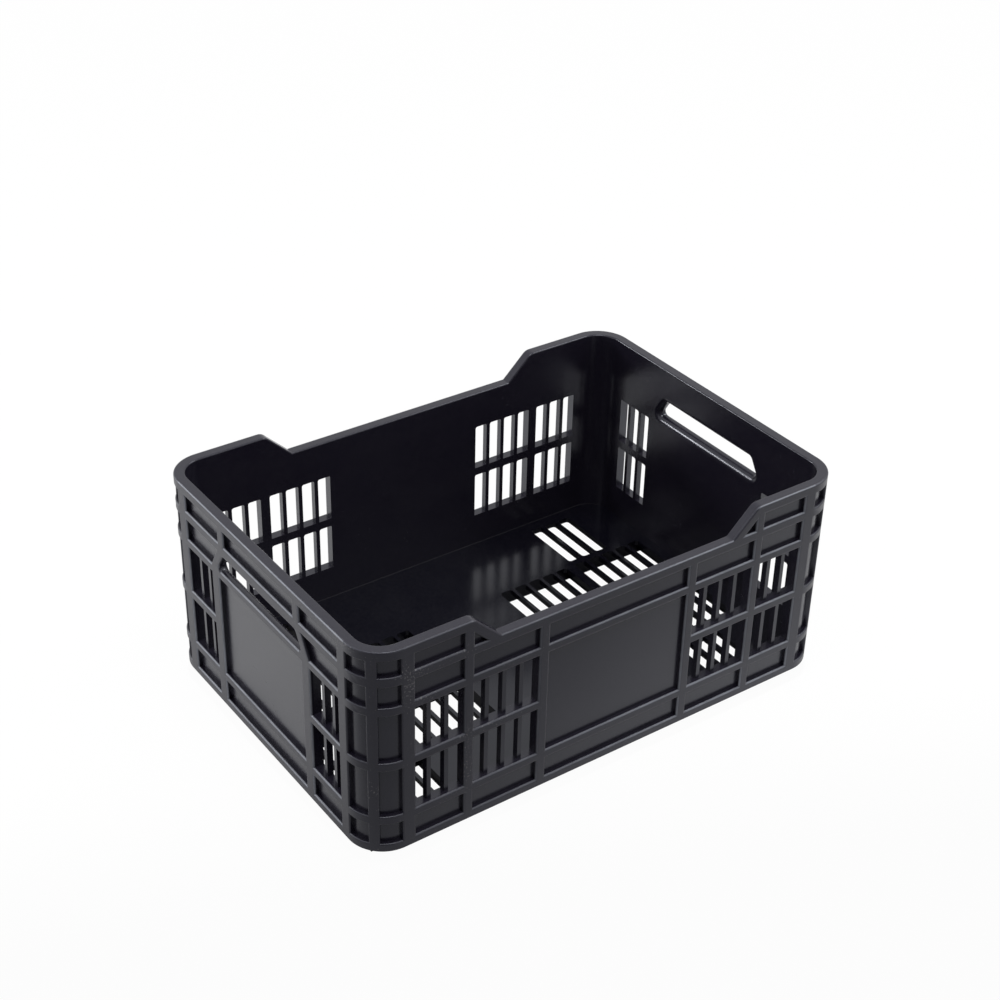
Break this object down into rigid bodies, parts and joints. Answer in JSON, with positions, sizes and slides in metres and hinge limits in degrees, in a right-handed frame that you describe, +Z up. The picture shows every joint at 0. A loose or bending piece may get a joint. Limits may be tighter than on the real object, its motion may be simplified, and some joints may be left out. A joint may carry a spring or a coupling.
{
  "type": "fruit crate",
  "caption": "Open-top rectangular crate with ribbed, slotted walls, dipped long rims, a hand hole in each end and a slotted floor, for picking, carrying and stacking fruit.",
  "frame": {"origin": "middle of the footprint, on the plane that the crate stands on", "axes": "+X along the long walls, -Y towards the front long wall, +Z up"},
  "size_m": [0.5, 0.347, 0.2165],
  "materials": {
    "wall_plastic": "satin moulded",
    "floor_plastic": "smooth satin"
  },
  "bodies": {
    "root": {"corner_post_front_left": "wall_plastic", "corner_post_front_right": "wall_plastic", "corner_post_back_left": "wall_plastic", "corner_post_back_right": "wall_plastic", "front_label_panel": "wall_plastic", "front_low_rim": "wall_plastic", "front_vent_left": "wall_plastic", "front_vent_right": "wall_plastic", "front_shoulder_left": "wall_plastic", "front_shoulder_right": "wall_plastic", "back_label_panel": "wall_plastic", "back_low_rim": "wall_plastic", "back_vent_left": "wall_plastic", "back_vent_right": "wall_plastic", "back_shoulder_left": "wall_plastic", "back_shoulder_right": "wall_plastic", "left_label_panel": "wall_plastic", "left_handle_bar": "wall_plastic", "left_vent_front": "wall_plastic", "left_vent_back": "wall_plastic", "left_rim_front": "wall_plastic", "left_rim_back": "wall_plastic", "right_label_panel": "wall_plastic", "right_handle_bar": "wall_plastic", "right_vent_front": "wall_plastic", "right_vent_back": "wall_plastic", "right_rim_front": "wall_plastic", "right_rim_back": "wall_plastic", "floor_grille_left": "floor_plastic", "floor_panel": "floor_plastic", "floor_grille_right": "floor_plastic"}
  },
  "joints": []
}
